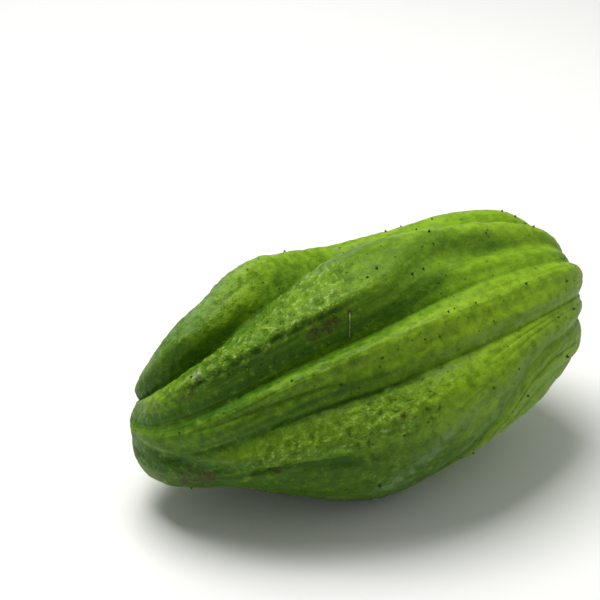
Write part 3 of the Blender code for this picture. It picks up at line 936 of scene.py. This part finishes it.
# %% Specks
SPECK_COUNT = 320
SPECK_SEED = 7
SPECK_SMALLEST, SPECK_LARGEST = 0.22, 0.50
SPECK_SQUATNESS = 0.7
SPECK_ENDS_CLEAR = 0.04
SPECK_LOWEST = 3.0
SPECK_SUNK = 0.5
SPECK_RINGS = 5
Speck = namedtuple("Speck", "share turn height radius")
NAMED_SPECKS = (
    Speck(0.480, 0.463, 0.9, 1.00),
    Speck(0.565, 0.647, 0.9, 0.75),
    Speck(0.592, 0.667, 0.8, 0.80),
    Speck(0.653, 0.423, 1.2, 0.90),
    Speck(0.591, 1.360, 0.6, 0.60),
    Speck(0.648, 1.397, 0.7, 0.60),
    Speck(0.622, 1.573, 0.6, 0.60),
    Speck(0.532, 1.627, 0.7, 0.65),
    Speck(0.508, 1.580, 0.6, 0.60),
    Speck(0.373, 1.757, 0.7, 0.80),
    Speck(0.824, 2.377, 0.6, 0.55),
    Speck(0.687, 8.813, 0.9, 0.70),
    Speck(0.729, 8.713, 1.0, 0.80),
    Speck(0.880, 8.700, 0.7, 0.80),
    Speck(0.900, 8.780, 0.6, 0.70),
    Speck(0.915, 8.850, 0.6, 0.70),
)
speck_bm = bmesh.new()
speck_rises = []
pick = random.Random(SPECK_SEED)
specks = list(NAMED_SPECKS)
for number in range(SPECK_COUNT):
    size = pick.uniform(SPECK_SMALLEST, SPECK_LARGEST)
    share = pick.uniform(SPECK_ENDS_CLEAR, 1 - SPECK_ENDS_CLEAR)
    specks.append(Speck(share, pick.uniform(0, len(RIBS)), size * SPECK_SQUATNESS, size))
for speck in specks:
    foot, direction = point_and_normal(polar_of(speck.share), speck.turn)
    if foot.z > SPECK_LOWEST:
        speck_rises += grow_spine(speck_bm, foot, direction, speck.height, speck.radius,
                                  SPECK_SUNK, SPECK_RINGS)
speck_piece = make_piece("specks", speck_bm)
keep_values(speck_piece, "rise", speck_rises)
print("speck triangles:", sum(len(face.vertices) - 2 for face in speck_piece.data.polygons))

# %% [markdown]
# ## The stalk stub
# In the hollow of the stem end a short stub is left of the stalk. It could be a plain cylinder, but
# a dry stub is ribbed and a little twisted, so a sphere is drawn out into it as the fruit was.

# %% Stalk stub
STALK_BASE_RADIUS = 5.0
STALK_TIP_RADIUS = 3.6
STALK_HEIGHT = 5.0
STALK_SUNK = 3.0
STALK_RIBS = 5
STALK_RIB_DEPTH = 0.07
STALK_TWIST = 0.5
STALK_NARROWING = 1.5
STALK_GRAIN, STALK_ROUGHNESS = 4, 0.25
STALK_BLUNTNESS = 8
STALK_EDGE_SINK, STALK_EDGE_POWER = 0.5, 6
STALK_COLUMNS, STALK_RINGS = 60, 40

stalk_bm = bmesh.new()
bmesh.ops.create_uvsphere(stalk_bm, u_segments=STALK_COLUMNS, v_segments=STALK_RINGS, radius=1)
stalk_foot = place_on_skin(1.0, 0.0)
stalk_way = Vector(heading(np.array([1.0]))[0][0])
stalk_turning = stalk_way.to_track_quat("Z", "Y").to_matrix()
stalk_rises = []
for vertex in stalk_bm.verts:
    bearing = math.atan2(vertex.co.y, vertex.co.x)
    level = vertex.co.z
    rise = (level + 1) / 2
    closing = math.sqrt(1 - abs(level) ** STALK_BLUNTNESS)
    narrowed = min(1, rise * STALK_NARROWING)
    width = STALK_BASE_RADIUS + (STALK_TIP_RADIUS - STALK_BASE_RADIUS) * narrowed
    ribbed = math.cos(STALK_RIBS * bearing + STALK_TWIST * rise * math.tau)
    width *= 1 + STALK_RIB_DEPTH * ribbed
    width += STALK_ROUGHNESS * noise.noise(vertex.co * STALK_GRAIN)
    height = rise * (STALK_HEIGHT + STALK_SUNK) - STALK_SUNK
    height -= STALK_EDGE_SINK * max(level, 0) ** STALK_EDGE_POWER * (1 - closing)
    local = Vector((math.cos(bearing), math.sin(bearing), 0)) * (width * closing)
    vertex.co = (stalk_foot + stalk_turning @ (local + Vector((0, 0, height)))) * MM
    stalk_rises.append(rise)
stalk = make_piece("stalk", stalk_bm)
keep_values(stalk, "rise", stalk_rises)
print("stalk foot in mm:", [round(value, 1) for value in stalk_foot])

# %% [markdown]
# ## A stuck thread
# One pale plant hair sticks to the shoulder rib and hangs down over its flank. A small ring of
# points stands at each of a few places just above the skin, and the rings are joined to a fine tube.
# A curve could draw it as well, but places told by share and rib count follow the flank by
# themselves.

# %% Thread
THREAD_PLACES = ((0.424, 0.640), (0.421, 0.700), (0.419, 0.760), (0.416, 0.830), (0.413, 0.900))
THREAD_RADIUS = 0.13
THREAD_SIDES = 6
THREAD_LIFT = 0.35
THREAD_LOOK_AHEAD = 0.05

thread_bm = bmesh.new()
rings = []
for share, turn in THREAD_PLACES:
    foot, direction = point_and_normal(polar_of(share), turn)
    made = bmesh.ops.create_circle(thread_bm, cap_ends=False, segments=THREAD_SIDES,
                                   radius=THREAD_RADIUS * MM)["verts"]
    down = (place_on_skin(share, turn + THREAD_LOOK_AHEAD) - foot).normalized()
    bmesh.ops.rotate(thread_bm, verts=made, cent=(0, 0, 0),
                     matrix=down.to_track_quat("Z", "Y").to_matrix())
    bmesh.ops.translate(thread_bm, verts=made, vec=(foot + direction * THREAD_LIFT) * MM)
    rings.append(made)
for before, after in zip(rings, rings[1:]):
    sides = {edge for vertex in before + after for edge in vertex.link_edges}
    bmesh.ops.bridge_loops(thread_bm, edges=[edge for edge in sides if
                                             all(end in before for end in edge.verts) or
                                             all(end in after for end in edge.verts)])
for ring in (rings[0], rings[-1]):
    bmesh.ops.contextual_create(thread_bm, geom=ring)
bmesh.ops.recalc_face_normals(thread_bm, faces=thread_bm.faces[:])
thread = make_piece("thread", thread_bm)
print("thread faces:", len(thread.data.polygons))

# %% [markdown]
# ## The prickles' colour
# A prickle is green at its foot like the skin and dries to a dark tip. How far up a point stands was
# kept on the mesh, so one soft step along it gives the tip, and no picture has to be wrapped round.

# %% Prickle material
prickle_material, tree, shader = start_material("prickle_tips")
rise_value = kept_value(tree, "rise")
on_object = add_node(tree, "ShaderNodeTexCoord").outputs["Object"]
tips = lay_over(tree, step(tree, rise_value, 0.70, 1.0, 0.0, 0.9), DEEP_GREEN, SPECK_BROWN)
tips = lay_over(tree, step(tree, grain(tree, on_object, 900), 0.4, 0.7, 0.0, 0.4), tips, SCAR_BROWN)
put(tree, shader.inputs["Base Color"], tips)
shader.inputs["Roughness"].default_value = 0.6
shader.inputs["Specular IOR Level"].default_value = SKIN_SPECULAR
prickles.data.materials.append(prickle_material)
print("prickles painted")

# %% [markdown]
# ## The specks' colour
# Specks are nearly black, and some have healed brown. The same step is used, from the colour of a
# groove, and a coarse noise picks out the brown ones.

# %% Speck material
speck_material, tree, shader = start_material("dark_specks")
rise_value = kept_value(tree, "rise")
on_object = add_node(tree, "ShaderNodeTexCoord").outputs["Object"]
dots = lay_over(tree, step(tree, rise_value, 0.30, 0.75), GROOVE_GREEN, SPECK_BROWN)
dots = lay_over(tree, step(tree, grain(tree, on_object, 160), 0.45, 0.7, 0.0, 0.5), dots, SCAR_BROWN)
put(tree, shader.inputs["Base Color"], dots)
shader.inputs["Roughness"].default_value = 0.7
shader.inputs["Specular IOR Level"].default_value = 0.10
speck_piece.data.materials.append(speck_material)
print("specks painted")

# %% [markdown]
# ## The stub's and the thread's colours
# The stub is dry, brownish green with dark fibres that run along it, so its noise is stretched along
# the fruit. The thread is straw-coloured, and a little green shows through in places.

# %% Stalk and thread materials
DRY_GREEN = (0.115, 0.150, 0.035, 1)
DRY_BROWN = (0.110, 0.075, 0.030, 1)
STRAW = (0.520, 0.540, 0.280, 1)
FIBRE_BUMP_DEPTH = 0.0006

stalk_material, tree, shader = start_material("dry_stalk")
rise_value = kept_value(tree, "rise")
on_object = add_node(tree, "ShaderNodeTexCoord").outputs["Object"]
fibres = grain(tree, stretched(tree, on_object, (0.15, 1, 1)), 900, 4, 0.65)
dry = lay_over(tree, step(tree, fibres, 0.35, 0.65), DRY_GREEN, DRY_BROWN)
dry = lay_over(tree, step(tree, rise_value, 0.80, 1.0, 0.0, 0.7), dry, SCAR_BROWN)
put(tree, shader.inputs["Base Color"], dry)
put(tree, shader.inputs["Roughness"], step(tree, fibres, 0.3, 0.7, 0.6, 0.85))
bump = add_node(tree, "ShaderNodeBump")
put(tree, bump.inputs["Height"], fibres)
bump.inputs["Strength"].default_value = 0.8
bump.inputs["Distance"].default_value = FIBRE_BUMP_DEPTH
put(tree, shader.inputs["Normal"], bump.outputs["Normal"])
stalk.data.materials.append(stalk_material)

thread_material, tree, shader = start_material("straw_thread")
on_object = add_node(tree, "ShaderNodeTexCoord").outputs["Object"]
put(tree, shader.inputs["Base Color"],
    lay_over(tree, step(tree, grain(tree, on_object, 300), 0.4, 0.6), STRAW, DRY_GREEN))
shader.inputs["Roughness"].default_value = 0.6
thread.data.materials.append(thread_material)
print("stalk and thread painted")

# %% [markdown]
# ## The table
# The fruit lies on a plain pale table, so that nothing draws the eye from its skin. One wide face is
# enough, because it is seen only around the fruit, and a faint cloudiness keeps the paint real.

# %% Floor
TABLE_HALF_WIDTH = 4.0
TABLE_PAINT = (0.86, 0.87, 0.92, 1)
TABLE_CLOUDS = (0.88, 0.89, 0.94, 1)

floor_bm = bmesh.new()
bmesh.ops.create_grid(floor_bm, x_segments=1, y_segments=1, size=TABLE_HALF_WIDTH)
floor_mesh = bpy.data.meshes.new("table")
floor_bm.to_mesh(floor_mesh)
floor_bm.free()
table = bpy.data.objects.new("table", floor_mesh)
bpy.context.scene.collection.objects.link(table)
table_material, tree, shader = start_material("table_paint")
on_object = add_node(tree, "ShaderNodeTexCoord").outputs["Object"]
paint = lay_over(tree, grain(tree, on_object, 30), TABLE_PAINT, TABLE_CLOUDS)
put(tree, shader.inputs["Base Color"], paint)
shader.inputs["Roughness"].default_value = 0.7
table.data.materials.append(table_material)
print("table laid")

# %% [markdown]
# ## The light
# The large soft lamp stands high and a little behind, so that the upper faces of the ribs are bright
# and their lower flanks dark. A weak, cooler lamp on the right and a dim warm surrounding keep the
# shadows open.

# %% Lights
Lamp = namedtuple("Lamp", "name azimuth elevation distance size power tint")
LAMPS = (
    Lamp("top_lamp", -165, 72, 900, 520, 8.8, (1.0, 0.98, 0.90)),
    Lamp("front_fill", 70, 40, 1200, 900, 1.2, (0.90, 0.95, 1.0)),
)
LAMP_TARGET = (0, 0, 40)
SURROUNDING_TINT = (1.0, 0.99, 0.90, 1)
SURROUNDING_STRENGTH = 0.28


def add_lamp(lamp):
    """Add a soft square lamp that faces the fruit; distances and sizes are in millimetres."""
    light = bpy.data.lights.new(lamp.name, "AREA")
    light.size = lamp.size * MM
    light.energy = lamp.power
    light.color = lamp.tint
    placed = bpy.data.objects.new(lamp.name, light)
    bpy.context.scene.collection.objects.link(placed)
    aim(placed, direction_to(lamp.azimuth, lamp.elevation) * lamp.distance, LAMP_TARGET)


for lamp in LAMPS:
    add_lamp(lamp)
world = bpy.data.worlds.new("studio")
bpy.context.scene.world = world
world.use_nodes = True
surrounding = world.node_tree.nodes["Background"]
surrounding.inputs["Color"].default_value = SURROUNDING_TINT
surrounding.inputs["Strength"].default_value = SURROUNDING_STRENGTH
bpy.context.scene.view_settings.view_transform = "Standard"
